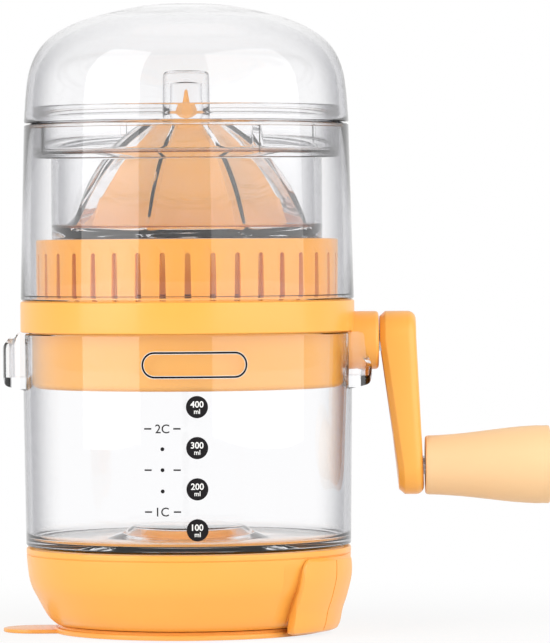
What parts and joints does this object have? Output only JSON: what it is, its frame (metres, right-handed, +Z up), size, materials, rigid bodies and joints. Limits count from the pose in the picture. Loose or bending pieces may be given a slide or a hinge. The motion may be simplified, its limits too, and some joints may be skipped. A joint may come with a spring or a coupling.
{
  "type": "hand crank citrus juicer",
  "caption": "Hand-crank citrus juicer with a suction base, graduated juice cup, geared side crank, strainer, ridged reamer, clear press cup and domed lid.",
  "frame": {"origin": "middle of the suction pad's flat underside", "axes": "+Z up through the reamer's tip; the crank's axis runs along +X, and the cup's graduations face -Y"},
  "size_m": [0.1751, 0.1068, 0.2006],
  "materials": {
    "orange_shell": "satin",
    "orange_food_plastic": "satin",
    "cream_plastic": "matte",
    "clear_plastic": "gloss",
    "suction_rubber": "satin",
    "seal_rubber": "matte",
    "bearing_nylon": "matte",
    "shaft_steel": "satin",
    "spring_wire": "satin",
    "screws": "satin"
  },
  "bodies": {
    "base": {"base_shell": "orange_shell", "base_plate": "orange_shell", "base_screw_1": "screws", "base_screw_2": "screws", "base_screw_3": "screws", "suction_pad": "suction_rubber", "stud_spring": "spring_wire"},
    "lever": {"lever_panel": "orange_shell", "cam_arm": "bearing_nylon"},
    "stud": {"suction_stud": "bearing_nylon", "stud_pin": "screws"},
    "cup": {"juice_cup": "clear_plastic"},
    "housing": {"housing": "orange_shell", "gear_cover": "orange_shell", "gear_cover_screw_1": "screws", "gear_cover_screw_2": "screws", "gear_cover_screw_3": "screws", "crank_bush_inner": "bearing_nylon", "crank_bush_outer": "bearing_nylon", "spindle_bush": "bearing_nylon", "spindle_seal": "seal_rubber", "strainer_basket": "orange_food_plastic"},
    "crank": {"crank_shaft": "shaft_steel", "bevel_pinion": "bearing_nylon", "crank_arm": "orange_shell", "crank_screw": "screws", "grip_axle": "shaft_steel"},
    "grip": {"crank_grip": "cream_plastic"},
    "spindle": {"spindle": "shaft_steel", "bevel_gear": "bearing_nylon", "spindle_circlip": "screws", "reamer": "orange_food_plastic"},
    "sleeve": {"cover_sleeve": "clear_plastic"},
    "press": {"press_cup": "clear_plastic"},
    "lid": {"dome_lid": "clear_plastic"}
  },
  "joints": [
    {"name": "lever_turn", "type": "hinge", "parent": "base", "child": "lever", "pos_m": [0, 0, 0], "axis": [0, 0, 1], "range_deg": [0, 24]},
    {"name": "stud_slide", "type": "slide", "parent": "base", "child": "stud", "axis": [0, 0, 1], "range_m": [0, 0.0021], "deforming": ["stud_spring", "suction_pad"]},
    {"name": "cup_lift", "type": "slide", "parent": "base", "child": "cup", "axis": [0, 0, 1], "range_m": [0, 0.03]},
    {"name": "housing_lift", "type": "slide", "parent": "cup", "child": "housing", "axis": [0, 0, 1], "range_m": [0, 0.035]},
    {"name": "crank_spin", "type": "hinge", "parent": "housing", "child": "crank", "pos_m": [0, 0, 0.0926], "axis": [1, 0, 0], "continuous": true},
    {"name": "grip_spin", "type": "hinge", "parent": "crank", "child": "grip", "pos_m": [0.095, 0, 0.0525], "axis": [1, 0, 0], "continuous": true},
    {"name": "spindle_spin", "type": "hinge", "parent": "housing", "child": "spindle", "pos_m": [0, 0, 0.0926], "axis": [0, 0, 1], "continuous": true},
    {"name": "sleeve_lift", "type": "slide", "parent": "housing", "child": "sleeve", "axis": [0, 0, 1], "range_m": [0, 0.075]},
    {"name": "press_lift", "type": "slide", "parent": "sleeve", "child": "press", "axis": [0, 0, 1], "range_m": [0, 0.055]},
    {"name": "lid_lift", "type": "slide", "parent": "press", "child": "lid", "axis": [0, 0, 1], "range_m": [0, 0.04]}
  ],
  "couplings": [
    {"joint": "spindle_spin", "follows": "crank_spin", "ratio": -0.66667},
    {"joint": "stud_slide", "follows": "lever_turn", "m_per_rad": 0.0047746}
  ]
}
